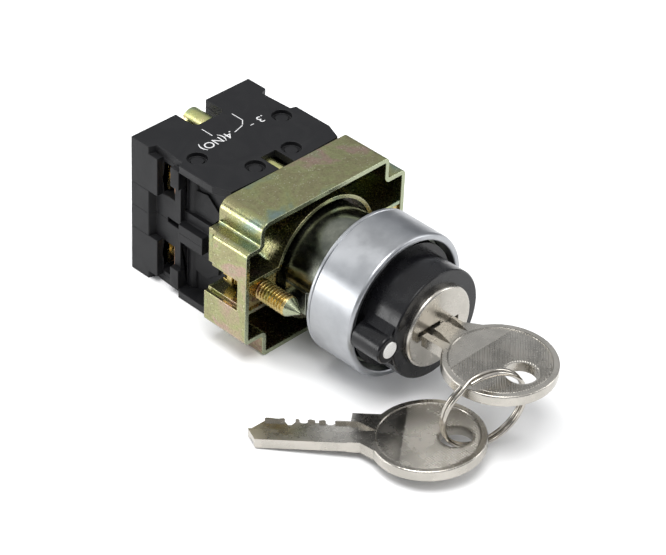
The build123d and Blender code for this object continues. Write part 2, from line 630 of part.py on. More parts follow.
def block_plan(front_notch):
    """Plan of the block: rear slot for the stud head, side notches and cut-back front corners."""
    w, d = BLOCK_HALF_X, BLOCK_DEPTH
    side = [(w - 1.4, 0.4), (w, 4.0), (w, 12.9), (w - 1.2, 13.3), (w - 1.6, 20.6), (w, 21.2), (w, d),
            (STUD_SLOT_HALF, d), (STUD_SLOT_HALF, d - STUD_SLOT_DEPTH + 0.8),
            (STUD_SLOT_HALF - 0.9, d - STUD_SLOT_DEPTH)]
    other = [(-x, y) for x, y in reversed(side)]
    notch = [(-x, y) for x, y in NOTCH] + list(reversed(NOTCH)) if front_notch else []
    return Pos(0, BLOCK_FRONT, 0) * outline(*side, *other, *notch)


def block_cover():
    """Cover plate with four pits for the staked pins, and the upper half of the rear corners and ribs."""
    plate = Pos(0, 0, COVER_Z) * extrude(block_plan(front_notch=True), COVER_THICK)
    for side in (-1, 1):
        plate += slab(side * (BLOCK_HALF_X - WALL), side * BLOCK_HALF_X, depth(TERMINAL_FRONT),
                      BLOCK_REAR, PARTING_WALL, COVER_Z)
        plate += slab(side * RIB_INNER, side * (BLOCK_HALF_X - 0.1), depth(RIB_FRONT),
                      depth(WINDOW_FRONT), PARTING_RIB, COVER_Z)
    for x, y in STAKE_PITS:
        plate -= pillar(STAKE_R, COVER_Z - 1, BLOCK_HEIGHT + 1, x, depth(y))
        plate -= pillar(STAKE_PIT_R, BLOCK_HEIGHT - STAKE_PIT_DEPTH, BLOCK_HEIGHT + 1, x, depth(y))
    plate -= rod(STUD_R + 0.1, BLOCK_FRONT - 1, BLOCK_REAR, z=STUD_Z)
    return plate - rod(STUD_HEAD_R + 0.1, STUD_HEAD_FRONT - 0.1, BLOCK_REAR + 1, z=STUD_Z)


def stem_bore(margin):
    """Hole for the plunger stem in the block's front wall."""
    return rod(PUSHER_R + STEM_EXTRA + margin, depth(-1), depth(WALL + 1), z=PUSHER_RADIUS)


def block_housing():
    """Open-topped moulding with side recesses, wire windows, terminal pockets and staked pins."""
    inner = BLOCK_HALF_X - SIDE_RECESS
    rear_wall = depth(TERMINAL_FRONT - 1.0)
    body = extrude(block_plan(front_notch=False), COVER_Z)
    body -= slab(-NOTCH[0][0], NOTCH[0][0], depth(-1), depth(NOTCH[1][1]), COVER_Z - 3.0, COVER_Z + 1)
    for side in (-1, 1):
        outer = side * (BLOCK_HALF_X + 1)
        body -= slab(side * inner, outer, depth(-1), depth(RIB_FRONT), 1.9, COVER_Z + 1)
        shelf = slab(side * (inner - 0.5), side * (inner + 1.6), depth(0.8), depth(RIB_FRONT), 1.5, 4.0)
        body += shelf
        body += pentagon(side)
        body -= slab(side * 9.4, outer, depth(WINDOW_FRONT), depth(TERMINAL_FRONT), 5.3, 12.5)
        body -= slab(side * (BLOCK_HALF_X - WALL - 0.02), outer, depth(TERMINAL_FRONT), BLOCK_REAR + 1,
                     PARTING_WALL, COVER_Z + 1)
        body -= slab(side * (RIB_INNER - 0.02), outer, depth(RIB_FRONT - 0.01),
                     depth(WINDOW_FRONT + 0.01), PARTING_RIB, COVER_Z + 1)
        body -= terminal_pocket(side)
        near, far, half = LATCH_SLOT
        body -= slab(side * (BLOCK_HALF_X - LATCH_SLOT_SINK - 1.6), outer, depth(near), depth(far), -1, half)
        relief = CLAMP_HEAD_R + DRIVER_CLEARANCE
        body -= rod(relief, depth(-1), depth(6.5), x=side * CLAMP_X)
    body -= slab(-inner + WALL, inner - WALL, depth(WALL), rear_wall, WALL, COVER_Z + 1)
    for x, y in STAKE_PITS:
        body += pillar(BOSS_R, WALL - 0.5, COVER_Z, x, depth(y))
        body += pillar(STAKE_R - PRESS_LINE, COVER_Z - 1, BLOCK_HEIGHT - STAKE_PIT_DEPTH + STAKE_PROUD,
                       x, depth(y))
    body -= rod(STUD_R + 0.1, BLOCK_FRONT - 1, BLOCK_REAR + 1, z=STUD_Z)
    body -= rod(STUD_HEAD_R + 0.1, STUD_HEAD_FRONT - 0.1, BLOCK_REAR + 1, z=STUD_Z)
    return body - stem_bore(TURN_FIT)


def pentagon(side):
    """Raised five-sided pad on the floor of a side recess."""
    inner = BLOCK_HALF_X - SIDE_RECESS
    shape = outline((depth(4.6), 3.6), (depth(RIB_FRONT), 3.6), (depth(RIB_FRONT), 8.6),
                    (depth(8.2), 9.6), (depth(5.0), 7.0))
    pad = extrude(shape, 1.1)
    pad = Rot(X=90) * Rot(Y=90) * pad
    return Pos(side * inner - 0.55, 0, 0) * pad


def terminal_pocket(side):
    """Room for one terminal: the screw, its saddle and the end of the fixed contact."""
    x = side * TERMINAL_X
    saddle_rear = SADDLE_FRONT + SADDLE_THICK
    reach = SADDLE_HALF + 0.4
    head_front = depth(saddle_rear - TERMINAL_TRAVEL - AXIAL_GAP)
    head = rod(TERMINAL_HEAD_R + 0.15, head_front, BLOCK_REAR + 1, x=x, z=TERMINAL_Z)
    room_front = depth(TERMINAL_TIP - TERMINAL_TRAVEL - 0.1)
    room = slab(side * (TERMINAL_X - reach), side * (TERMINAL_X + reach - 0.5), room_front,
                depth(saddle_rear + AXIAL_GAP), TERMINAL_Z - reach, TERMINAL_Z + reach)
    return head + room


def mounting_stud():
    """Captive screw that holds the block to the bracket, with a tapped head for the next block."""
    stud = rod(STUD_R, BRACKET_REAR - SHEET, STUD_HEAD_FRONT + 0.5, z=STUD_Z)
    stud += rod(STUD_HEAD_R, STUD_HEAD_FRONT, BLOCK_REAR, z=STUD_Z)
    return stud - rod(STUD_TAP_R, BLOCK_REAR - STUD_TAP_DEPTH, BLOCK_REAR + 1, z=STUD_Z)


def pusher():
    """Round-ended rod from the cam to the plunger."""
    ball = Pos(0, PUSHER_CENTRE, PUSHER_RADIUS) * Sphere(PUSHER_R)
    return ball + rod(PUSHER_R, PUSHER_CENTRE, PLUNGER_FRONT, z=PUSHER_RADIUS)


def plunger():
    """Plunger: front stem, carrier for the bridge and rear stem inside the spring."""
    low, high = PUSHER_RADIUS - CARRIER_HALF_Z, PUSHER_RADIUS + CARRIER_HALF_Z
    half, bridge_rear = CARRIER_HALF_X, BRIDGE_PLACE + BRIDGE_THICK
    body = rod(PUSHER_R + STEM_EXTRA, PLUNGER_FRONT, depth(BRIDGE_PLACE), z=PUSHER_RADIUS)
    body += slab(-half, half, depth(BRIDGE_PLACE - CARRIER_DEPTH), depth(BRIDGE_PLACE), low, high)
    for near, far in ((low, low + CARRIER_CHEEK), (high - CARRIER_CHEEK, high)):
        body += slab(-half, half, depth(BRIDGE_PLACE - 0.5), depth(CARRIER_REAR), near, far)
    body += slab(-half, half, depth(bridge_rear), depth(CARRIER_REAR), low, high)
    tail_r = SPRING_COIL_R - SPRING_WIRE_R - STEM_EXTRA
    tail_front = depth(CARRIER_REAR - 0.2)
    return body + rod(tail_r, tail_front, tail_front + TAIL_LENGTH, z=PUSHER_RADIUS)


def contact_bridge():
    """Bridge across the plunger with a silver tip at each end."""
    y0 = depth(BRIDGE_PLACE)
    rear = y0 + BRIDGE_THICK
    half = CARRIER_HALF_Z - CARRIER_CHEEK - TURN_FIT
    bar = slab(-BRIDGE_HALF_X, BRIDGE_HALF_X, y0, rear, PUSHER_RADIUS - half, PUSHER_RADIUS + half)
    for side in (-1, 1):
        bar += rod(TIP_R, rear, rear + TIP_THICK, side * TIP_X, PUSHER_RADIUS)
    return bar


def return_spring():
    """Spring between the plunger and the housing's rear wall."""
    front, rear = depth(CARRIER_REAR + 0.05), depth(TERMINAL_FRONT - 1.05)
    return coil(SPRING_WIRE_R, SPRING_COIL_R, front, rear, SPRING_TURNS, z=PUSHER_RADIUS)


def fixed_contact(side):
    """Strip from the terminal to a silver tip behind the bridge."""
    tip = depth(BRIDGE_PLACE + BRIDGE_THICK + TIP_THICK + CONTACT_OPEN)
    arm_y = tip + TIP_THICK
    leg_x = STAKE_PITS[1][0] - BOSS_R - 0.15
    low, high = PUSHER_RADIUS - 1.9, PUSHER_RADIUS + 1.9
    plate_y = depth(TERMINAL_PLATE)
    arm = slab(side * 5.4, side * leg_x, arm_y, arm_y + STRIP_THICK, low, high)
    leg = slab(side * (leg_x - STRIP_THICK), side * leg_x, arm_y, plate_y + STRIP_THICK, low, high)
    plate = slab(side * (leg_x - STRIP_THICK), side * (TERMINAL_X + SADDLE_HALF - 0.4), plate_y,
                 plate_y + STRIP_THICK, TERMINAL_Z - SADDLE_HALF, TERMINAL_Z + SADDLE_HALF)
    contact = arm + leg + plate + rod(TIP_R, tip, arm_y, side * TIP_X, PUSHER_RADIUS)
    return contact - rod(TERMINAL_R + TURN_FIT, depth(0), BLOCK_REAR, side * TERMINAL_X, TERMINAL_Z)


def terminal_screw(side):
    """Terminal screw, sunk below the rear face."""
    seat = depth(SADDLE_FRONT + SADDLE_THICK)
    rear = seat + TERMINAL_HEAD_DEPTH
    screw = rod(TERMINAL_R, depth(TERMINAL_TIP), seat) + rod(TERMINAL_HEAD_R, seat, rear)
    screw -= slab(-4, 4, rear - 1.1, rear + 1, -0.4, 0.4) + slab(-0.4, 0.4, rear - 1.1, rear + 1, -4, 4)
    return Pos(side * TERMINAL_X, 0, TERMINAL_Z) * screw


def saddle_clamp(side):
    """Square washer with a bent lip that presses the wire on the contact."""
    y0 = depth(SADDLE_FRONT)
    x0, x1 = TERMINAL_X - SADDLE_HALF, TERMINAL_X + SADDLE_HALF - 0.6
    low, high = TERMINAL_Z - SADDLE_HALF, TERMINAL_Z + SADDLE_HALF
    body = slab(side * x0, side * x1, y0, y0 + SADDLE_THICK, low, high)
    return body - rod(TERMINAL_R, y0 - 1, y0 + 3, side * TERMINAL_X, TERMINAL_Z)


# ---- assembly
HEAD = {
    "bezel_ring": bezel_ring, "panel_gasket": panel_gasket, "head_body": head_body,
    "lock_shell": lock_shell, "detent_ball": detent_ball, "detent_spring": detent_spring,
    "pusher_guide": pusher_guide, "guide_clip": guide_clip, "bracket_frame": bracket_frame,
    "collar_upper": collar_half, "collar_lower": lambda: half_turn(collar_half()),
    "head_seat": head_seat, "key_collar": key_collar, "pointer_insert": pointer_insert,
    "lock_plug": lock_plug, "wafer_tumblers": wafer_tumblers, "wafer_springs": wafer_springs,
    "switch_cam": switch_cam, "cam_screw": cam_screw, "key_inserted": key_inserted,
    "split_ring": split_ring, "spare_key": spare_key,
}
SIDED = {"clamp_nut": clamp_nut, "clamp_screw": clamp_screw}
BLOCK = {
    "housing": block_housing, "cover": block_cover, "mounting_stud": mounting_stud, "pusher": pusher,
    "plunger": plunger, "contact_bridge": contact_bridge, "return_spring": return_spring,
}
BLOCK_SIDED = {
    "fixed_contact": fixed_contact, "terminal_screw": terminal_screw, "saddle_clamp": saddle_clamp,
}
SIDES = {"left": -1, "right": 1}


def save(name, shape):
    """Write one sub-part."""
    export_step(shape, f"parts/{name}.step")


def main():
    """Build every sub-part."""
    os.makedirs("parts", exist_ok=True)
    for name, make in HEAD.items():
        save(name, make())
    for name, make in SIDED.items():
        for side, sign in SIDES.items():
            save(f"{name}_{side}", make(sign))
    for level in ("upper", "lower"):
        place = (lambda shape: shape) if level == "upper" else half_turn
        for name, make in BLOCK.items():
            save(f"{level}_{name}", place(make()))
        for name, make in BLOCK_SIDED.items():
            for side, sign in SIDES.items():
                turn = sign if level == "upper" else -sign
                save(f"{level}_{name}_{side}", place(make(turn)))


if __name__ == "__main__":
    main()
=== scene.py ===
"""Looks of a keyed selector switch: head, fixing bracket, two contact blocks and two keys on a ring."""
import logging
import math
from dataclasses import dataclass
from enum import Enum
from typing import Dict, List, Optional, Sequence, Tuple, Union

import bmesh
import bpy
import numpy as np
from mathutils import Matrix, Vector


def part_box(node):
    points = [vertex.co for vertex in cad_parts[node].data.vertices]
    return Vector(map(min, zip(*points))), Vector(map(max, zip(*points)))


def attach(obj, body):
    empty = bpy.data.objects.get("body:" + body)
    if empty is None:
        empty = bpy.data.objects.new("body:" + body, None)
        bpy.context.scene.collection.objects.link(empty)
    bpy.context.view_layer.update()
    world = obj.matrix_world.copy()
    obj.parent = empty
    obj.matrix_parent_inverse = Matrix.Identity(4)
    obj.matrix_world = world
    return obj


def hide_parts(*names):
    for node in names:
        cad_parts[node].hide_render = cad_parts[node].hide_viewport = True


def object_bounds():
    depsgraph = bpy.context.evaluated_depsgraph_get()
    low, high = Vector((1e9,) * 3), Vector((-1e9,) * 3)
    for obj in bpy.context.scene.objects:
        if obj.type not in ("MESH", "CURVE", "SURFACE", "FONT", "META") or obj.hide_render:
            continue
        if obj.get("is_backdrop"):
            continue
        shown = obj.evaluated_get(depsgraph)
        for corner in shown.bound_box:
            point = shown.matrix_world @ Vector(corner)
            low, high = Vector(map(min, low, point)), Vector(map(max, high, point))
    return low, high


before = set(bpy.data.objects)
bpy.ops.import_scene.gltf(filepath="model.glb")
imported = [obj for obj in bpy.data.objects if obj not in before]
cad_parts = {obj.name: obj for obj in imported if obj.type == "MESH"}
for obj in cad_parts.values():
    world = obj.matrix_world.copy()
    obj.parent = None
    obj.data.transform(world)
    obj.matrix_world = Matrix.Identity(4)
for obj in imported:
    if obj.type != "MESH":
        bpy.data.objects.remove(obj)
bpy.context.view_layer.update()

MM = 0.001
TURN = 2 * math.pi
LOG = logging.getLogger("switch")
Colour = Tuple[float, float, float]
Number = Union["Sock", float]


# ---------------------------------------------------------------- shader maths
class Sock:
    """A node's output, with arithmetic that adds Math nodes."""

    def __init__(self, graph: "Graph", socket: bpy.types.NodeSocket) -> None:
        """Wrap one output socket of a graph."""
        self.graph, self.socket = graph, socket

    def maths(self, operation: str, first: Number, second: Number) -> "Sock":
        """Add one Math node.

        Args:
            operation: the node's operation.
            first: left operand.
            second: right operand.

        Returns:
            The node's value.
        """
        return self.graph.node("ShaderNodeMath", {"operation": operation}, {0: first, 1: second})

    def __add__(self, other: Number) -> "Sock":
        """Sum."""
        return self.maths("ADD", self, other)

    __radd__ = __add__

    def __mul__(self, other: Number) -> "Sock":
        """Product."""
        return self.maths("MULTIPLY", self, other)

    __rmul__ = __mul__

    def __sub__(self, other: Number) -> "Sock":
        """Difference."""
        return self.maths("SUBTRACT", self, other)

    def __rsub__(self, other: Number) -> "Sock":
        """Reflected difference."""
        return self.maths("SUBTRACT", other, self)

    def __pow__(self, other: Number) -> "Sock":
        """Power."""
        return self.maths("POWER", self, other)

    def step(self, low: float, high: float) -> "Sock":
        """Rise from 0 to 1 between two values, smoothly.

        Args:
            low: value where the result is 0.
            high: value where the result is 1.

        Returns:
            The smooth step.
        """
        settings = {"interpolation_type": "SMOOTHSTEP"}
        return self.graph.node("ShaderNodeMapRange", settings, {0: self, 1: low, 2: high, 3: 0.0, 4: 1.0})


class Graph:
    """One material's nodes."""

    def __init__(self, name: str) -> None:
        """Start a material with one Principled shader.

        Args:
            name: the material's name.
        """
        self.material = bpy.data.materials.new(name)
        self.material.use_nodes = True
        self.tree = self.material.node_tree
        self.shader = self.tree.nodes["Principled BSDF"]
        self.place = self.node("ShaderNodeTexCoord", {}, {}, "Object")

    def node(self, kind: str, settings: Dict, inputs: Dict, output: Union[int, str] = 0) -> Sock:
        """Add a node.

        Args:
            kind: Blender's name for the node's type.
            settings: attributes to set first; "stops" fills a colour ramp.
            inputs: socket name or number to a value or a Sock.
            output: which output to hand back.

        Returns:
            The chosen output.
        """
        made = self.tree.nodes.new(kind)
        for key, value in settings.items():
            if key == "stops":
                self.fill_ramp(made.color_ramp, value)
            else:
                setattr(made, key, value)
        for key, value in inputs.items():
            self.feed(made.inputs[key], value)
        return Sock(self, made.outputs[output])

    @staticmethod
    def fill_ramp(ramp: bpy.types.ColorRamp, stops: Sequence[Tuple[float, Colour]]) -> None:
        """Give a colour ramp its stops.

        Args:
            ramp: the ramp.
            stops: positions with their colours.
        """
        while len(ramp.elements) < len(stops):
            ramp.elements.new(1.0)
        for element, (position, colour) in zip(ramp.elements, stops):
            element.position = position
            element.color = (*colour, 1.0)

    def feed(self, socket: bpy.types.NodeSocket, value: Union[Sock, float, Sequence[float]]) -> None:
        """Link a Sock to a socket, or set its value."""
        if isinstance(value, Sock):
            self.tree.links.new(value.socket, socket)
        elif isinstance(value, tuple) and socket.type == "RGBA":
            socket.default_value = (*value, 1.0)
        else:
            socket.default_value = value

    def stretched(self, scale: Tuple[float, float, float]) -> Sock:
        """Object coordinates scaled by axis."""
        return self.node("ShaderNodeMapping", {}, {"Vector": self.place, "Scale": scale})

    def noise(self, scale: float, detail: float = 2.0, vector: Optional[Sock] = None,
              rough: float = 0.5, warp: float = 0.0) -> Sock:
        """Cloudy noise from 0 to 1.

        Args:
            scale: cells per metre.
            detail: octaves.
            vector: coordinates, or the object's own.
            rough: how strong the fine octaves are.
            warp: distortion.

        Returns:
            The noise value.
        """
        inputs = {"Vector": vector or self.place, "Scale": scale, "Detail": detail,
                  "Roughness": rough, "Distortion": warp}
        return self.node("ShaderNodeTexNoise", {}, inputs)

    def specks(self, scale: float) -> Sock:
        """Distance to the nearest of many scattered points."""
        return self.node("ShaderNodeTexVoronoi", {}, {"Vector": self.place, "Scale": scale})

    def axis(self, letter: str) -> Sock:
        """One object coordinate, in millimetres."""
        return self.node("ShaderNodeSeparateXYZ", {}, {0: self.place}, letter) * (1 / MM)

    def mix(self, amount: Number, first: Union[Sock, Colour], second: Union[Sock, Colour]) -> Sock:
        """Blend two colours.

        Args:
            amount: 0 gives the first and 1 the second.
            first: a colour.
            second: another colour.

        Returns:
            The blended colour.
        """
        return self.node("ShaderNodeMix", {"data_type": "RGBA"}, {0: amount, 6: first, 7: second}, 2)

    def bump(self, height: Sock, depth_mm: float, strength: float = 1.0) -> Sock:
        """Normal from a height that runs from 0 to 1.

        Args:
            height: the height.
            depth_mm: how deep 1 is, in millimetres.
            strength: share of the effect.

        Returns:
            The normal.
        """
        return self.node("ShaderNodeBump", {},
                         {"Strength": strength, "Distance": depth_mm * MM, "Height": height})

    def finish(self, constants: Dict[str, float],
               varying: Dict[str, Union[Sock, Colour]]) -> bpy.types.Material:
        """Set the shader's inputs and hand the material back.

        Args:
            constants: numbers that are the same all over.
            varying: links or colours that change over the surface.

        Returns:
            The material.
        """
        for key, value in {**constants, **varying}.items():
            self.feed(self.shader.inputs[key], value)
        return self.material


# ---------------------------------------------------------------- finishes
@dataclass(frozen=True)
class PlatedMetal:
    """Plated metal with cloudy tone, fine drawn lines and small dents."""

    name: str
    light: Colour
    dark: Colour
    roughness: float = 0.25
    spread: float = 0.12
    lines: Tuple[float, float, float] = (1.0, 1.0, 1.0)
    line_depth: float = 0.004
    cloud: float = 220.0

    def material(self) -> bpy.types.Material:
        """Build the material."""
        g = Graph(self.name)
        cloud = g.noise(self.cloud, 4.0, rough=0.6).step(0.3, 0.7)
        lines = g.noise(900.0, 3.0, g.stretched(self.lines))
        scuffs = g.noise(1500.0, 6.0, rough=0.75, warp=0.6).step(0.56, 0.72)
        colour = g.mix(cloud * 0.75 + scuffs * 0.25, self.dark, self.light)
        rough = cloud * self.spread + lines * self.spread + scuffs * 0.08 + (self.roughness - self.spread)
        normal = g.bump(lines * 0.8 + g.noise(2600.0, 2.0) * 0.2, self.line_depth)
        return g.finish({"Metallic": 1.0}, {"Base Color": colour, "Roughness": rough, "Normal": normal})


@dataclass(frozen=True)
class Passivate:
    """Chromate conversion coat on zinc: olive gold with pink and blue-green films that drift over
    the sheet."""

    name: str
    stops: Tuple[Tuple[float, Colour], ...]
    edge: Colour = (0.34, 0.37, 0.25)
    edge_front_mm: float = -1000.0
    speckle: float = 0.5
    roughness: float = 0.24
    drift: float = 55.0

    def material(self) -> bpy.types.Material:
        """Build the material: film colour from drifting noise, plus grain and bright cut edges."""
        g = Graph(self.name)
        drift = g.noise(self.drift, 3.0, rough=0.55, warp=1.2)
        ripple = g.noise(self.drift * 5, 3.0, rough=0.6)
        film = g.node("ShaderNodeValToRGB", {"stops": self.stops}, {0: drift * 0.85 + ripple * 0.15})
        grain = g.noise(2300.0, 5.0, rough=0.8).step(0.42, 0.66)
        dark = g.mix(grain * self.speckle, film, (0.15, 0.15, 0.08))
        flakes = (1.0 - g.specks(1900.0).step(0.12, 0.3)) * g.noise(500.0, 2.0).step(0.45, 0.6)
        lit = g.mix(flakes * self.speckle, dark, (0.86, 0.84, 0.68))
        edge = 1.0 - g.axis("Y").step(self.edge_front_mm + 0.03, self.edge_front_mm + 0.16)
        colour = g.mix(edge, lit, self.edge)
        rough = grain * 0.16 + ripple * 0.14 + (self.roughness - 0.1)
        normal = g.bump(g.noise(1300.0, 4.0, rough=0.7), 0.012)
        return g.finish({"Metallic": 1.0}, {"Base Color": colour, "Roughness": rough, "Normal": normal})


@dataclass(frozen=True)
class Moulding:
    """Moulded plastic or rubber: spark-eroded grain, faint flow marks and dust."""

    name: str
    tone: Colour
    dust: Colour
    roughness: float = 0.5
    grain_mm: float = 0.012
    dusting: float = 0.25
    coat: float = 0.0
    specular: float = 0.5

    def material(self) -> bpy.types.Material:
        """Build the material."""
        g = Graph(self.name)
        grain = g.noise(3200.0, 4.0, rough=0.7)
        flow = g.noise(160.0, 3.0, warp=1.5).step(0.35, 0.7)
        dust = g.noise(5200.0, 2.0).step(0.64, 0.74) * flow
        colour = g.mix(dust * self.dusting + flow * 0.06, self.tone, self.dust)
        rough = grain * 0.16 + flow * 0.1 + (self.roughness - 0.12)
        normal = g.bump(grain, self.grain_mm)
        constants = {"Coat Weight": self.coat, "Coat Roughness": 0.18, "Specular IOR Level": self.specular}
        return g.finish(constants, {"Base Color": colour, "Roughness": rough, "Normal": normal})


GOLD_FILM = ((0.30, (0.24, 0.33, 0.31)), (0.38, (0.27, 0.35, 0.26)), (0.45, (0.37, 0.38, 0.18)),
             (0.51, (0.34, 0.31, 0.17)), (0.56, (0.38, 0.39, 0.19)), (0.62, (0.46, 0.32, 0.26)),
             (0.68, (0.35, 0.38, 0.22)), (0.76, (0.25, 0.33, 0.35)))
ORANGE_FILM = ((0.30, (0.30, 0.34, 0.14)), (0.44, (0.47, 0.34, 0.12)), (0.55, (0.56, 0.44, 0.19)),
               (0.66, (0.36, 0.20, 0.11)))
LIME_FILM = ((0.30, (0.38, 0.48, 0.30)), (0.45, (0.56, 0.58, 0.24)), (0.56, (0.66, 0.60, 0.30)),
             (0.68, (0.56, 0.40, 0.32)))


class Finish(Enum):
    """Every finish on the switch, by the record's slot name."""

    satin_chrome = PlatedMetal("satin_chrome", (0.44, 0.45, 0.465), (0.35, 0.36, 0.375), 0.34, 0.07,
                               (0.2, 1.0, 0.2))
    dark_chrome = PlatedMetal("dark_chrome", (0.30, 0.31, 0.26), (0.12, 0.13, 0.11), 0.2, 0.08,
                              (1.0, 0.08, 1.0))
    cast_zinc = PlatedMetal("cast_zinc", (0.46, 0.46, 0.46), (0.28, 0.28, 0.29), 0.42, 0.12)
    spring_steel = PlatedMetal("spring_steel", (0.60, 0.60, 0.60), (0.38, 0.38, 0.38), 0.26, 0.1)
    passivated_zinc = Passivate("passivated_zinc", GOLD_FILM, edge_front_mm=9.4, drift=60.0)
    zinc_yellow = Passivate("zinc_yellow", ORANGE_FILM, edge_front_mm=2.8, speckle=0.35, drift=160.0)
    zinc_lime = Passivate("zinc_lime", LIME_FILM, speckle=0.3, drift=150.0)
    nickel = PlatedMetal("nickel", (0.56, 0.53, 0.48), (0.42, 0.40, 0.36), 0.27, 0.09, (1.0, 0.25, 1.0))
    ring_steel = PlatedMetal("ring_steel", (0.60, 0.56, 0.51), (0.34, 0.32, 0.28), 0.13, 0.06)
    brass = PlatedMetal("brass", (0.80, 0.62, 0.26), (0.50, 0.36, 0.14), 0.28, 0.1)
    contact_copper = PlatedMetal("contact_copper", (0.76, 0.46, 0.30), (0.50, 0.28, 0.18), 0.3, 0.1)
    gasket_rubber = Moulding("gasket_rubber", (0.012, 0.012, 0.012), (0.06, 0.06, 0.06), 0.75)
    black_collar = Moulding("black_collar", (0.004, 0.004, 0.005), (0.03, 0.03, 0.03), 0.27, 0.004, 0.1,
                            specular=0.34)
    block_plastic = Moulding("block_plastic", (0.005, 0.005, 0.006), (0.05, 0.05, 0.05), 0.50, 0.02, 0.3,
                             specular=0.3)
    cam_plastic = Moulding("cam_plastic", (0.06, 0.06, 0.065), (0.2, 0.2, 0.2), 0.5)
    white_plastic = Moulding("white_plastic", (0.74, 0.73, 0.68), (0.6, 0.58, 0.52), 0.45)
    white_dot = Moulding("white_dot", (0.80, 0.79, 0.76), (0.58, 0.56, 0.52), 0.22, 0.003, 0.15, 0.3)
    white_ink = Moulding("white_ink", (0.66, 0.66, 0.66), (0.2, 0.2, 0.2), 0.6, 0.004, 0.9)


MADE: Dict[Finish, bpy.types.Material] = {}


def material_of(finish: Finish) -> bpy.types.Material:
    """The material of a finish, built once."""
    if finish not in MADE:
        MADE[finish] = finish.value.material()
    return MADE[finish]


# ---------------------------------------------------------------- surfaces
def lattice(rows: int, columns: int, wrap_rows: bool, wrap_columns: bool, offset: int = 0) -> np.ndarray:
    """Quads of a grid of points stored row by row.

    Args:
        rows: number of rows of points.
        columns: points in each row.
        wrap_rows: whether the last row joins the first.
        wrap_columns: whether each row is closed.
        offset: index of the first point.

    Returns:
        An array of four indices for each quad.
    """
    i = np.arange(rows if wrap_rows else rows - 1)[:, None]
    j = np.arange(columns if wrap_columns else columns - 1)[None, :]
    i2, j2 = (i + 1) % rows, (j + 1) % columns
    quads = np.stack([i * columns + j, i * columns + j2, i2 * columns + j2, i2 * columns + j], -1)
    return quads.reshape(-1, 4) + offset


def solid(name: str, points: np.ndarray, faces: List[Sequence[int]],
          smooth_deg: float = 35.0) -> bpy.types.Object:
    """Make an object from points and faces, with its faces turned outwards.

    Args:
        name: the object's name.
        points: corner positions in metres.
        faces: indices of each face's corners.
        smooth_deg: edges sharper than this stay sharp.

    Returns:
        The object, linked to the scene.
    """
    mesh = bpy.data.meshes.new(name)
    mesh.from_pydata(np.asarray(points, float).tolist(), [], [list(map(int, f)) for f in faces])
    tidy = bmesh.new()
    tidy.from_mesh(mesh)
    bmesh.ops.recalc_face_normals(tidy, faces=tidy.faces)
    tidy.to_mesh(mesh)
    tidy.free()
    made = bpy.data.objects.new(name, mesh)
    bpy.context.scene.collection.objects.link(made)
    smoothed(made, smooth_deg)
    return made


def smoothed(made: bpy.types.Object, angle_deg: float) -> None:
    """Shade an object smooth, apart from edges sharper than an angle."""
    made.data.polygons.foreach_set("use_smooth", np.ones(len(made.data.polygons), bool))
    made.data.set_sharp_from_angle(angle=math.radians(angle_deg))


def rounded(made: bpy.types.Object, width_mm: float, segments: int = 2, angle_deg: float = 38.0) -> None:
    """Round an object's sharp edges.

    Args:
        made: the object.
        width_mm: width of the rounding.
        segments: steps across it.
        angle_deg: edges sharper than this are rounded.
    """
    bevel = made.modifiers.new("edge", "BEVEL")
    bevel.width = width_mm * MM
    bevel.segments = segments
    bevel.limit_method = "ANGLE"
    bevel.angle_limit = math.radians(angle_deg)
    bevel.use_clamp_overlap = False
    bevel.harden_normals = True


def turned(name: str, profile: np.ndarray, segments: int = 192, centre: Tuple[float, float] = (0.0, 0.0),
           closed: bool = True) -> bpy.types.Object:
    """Surface of revolution about a line parallel to Y.

    A point of the profile (radius r, place y) goes to (cx + r cos t, y, cz + r sin t) for t round the circle.

    Args:
        name: the object's name.
        profile: array of (r, y) in millimetres.
        segments: steps round the circle.
        centre: the line's x and z in millimetres.
        closed: whether the profile is a closed loop; an open one gets flat ends.

    Returns:
        The object.
    """
    t = np.arange(segments) * TURN / segments
    r, y = profile[:, :1], profile[:, 1:]
    points = np.stack([centre[0] + r * np.cos(t), y + 0 * t, centre[1] + r * np.sin(t)],
                      -1).reshape(-1, 3) * MM
    faces = lattice(len(profile), segments, closed, True).tolist()
    if not closed:
        faces += [list(range(segments)), list(range((len(profile) - 1) * segments, len(profile) * segments))]
    return solid(name, points, faces)


def arc(centre: Tuple[float, float], radius: float, start_deg: float, end_deg: float,
        steps: int = 8) -> np.ndarray:
    """Points along an arc, both ends included."""
    a = np.radians(np.linspace(start_deg, end_deg, steps + 1))
    return np.stack([centre[0] + radius * np.cos(a), centre[1] + radius * np.sin(a)], -1)


def carried(name: str, outline: np.ndarray, low: float, high: float, place: Matrix) -> bpy.types.Object:
    """Flat outline (u, w) carried along its normal from one height to another.

    Args:
        name: the object's name.
        outline: array of (u, w) in millimetres.
        low: first height.
        high: second height.
        place: millimetres of (u, w, height) to metres in the row frame.

    Returns:
        The object.
    """
    count = len(outline)
    levels = np.repeat([low, high], count)[:, None]
    points = placed(np.hstack([np.vstack([outline, outline]), levels]), place)
    faces = lattice(2, count, False, True).tolist() + [list(range(count)), list(range(count, 2 * count))]
    return solid(name, points, faces)


def placed(points: np.ndarray, place: Matrix) -> np.ndarray:
    """Points after a placing matrix."""
    m = np.array(place)
    return points @ m[:3, :3].T + m[:3, 3]


def settle(made: bpy.types.Object, body: str, finish: Finish, nodes: Sequence[str] = ()) -> bpy.types.Object:
    """Give a piece its finish and body, and hide the CAD nodes that it stands for.

    Args:
        made: the piece.
        body: the CAD body that it rides on.
        finish: its finish.
        nodes: CAD nodes that it replaces.

    Returns:
        The piece.
    """
    made.data.materials.clear()
    made.data.materials.append(material_of(finish))
    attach(made, body)
    if nodes:
        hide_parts(*nodes)
    LOG.info("made %s on %s, %s", made.name, body, finish.name)
    return made


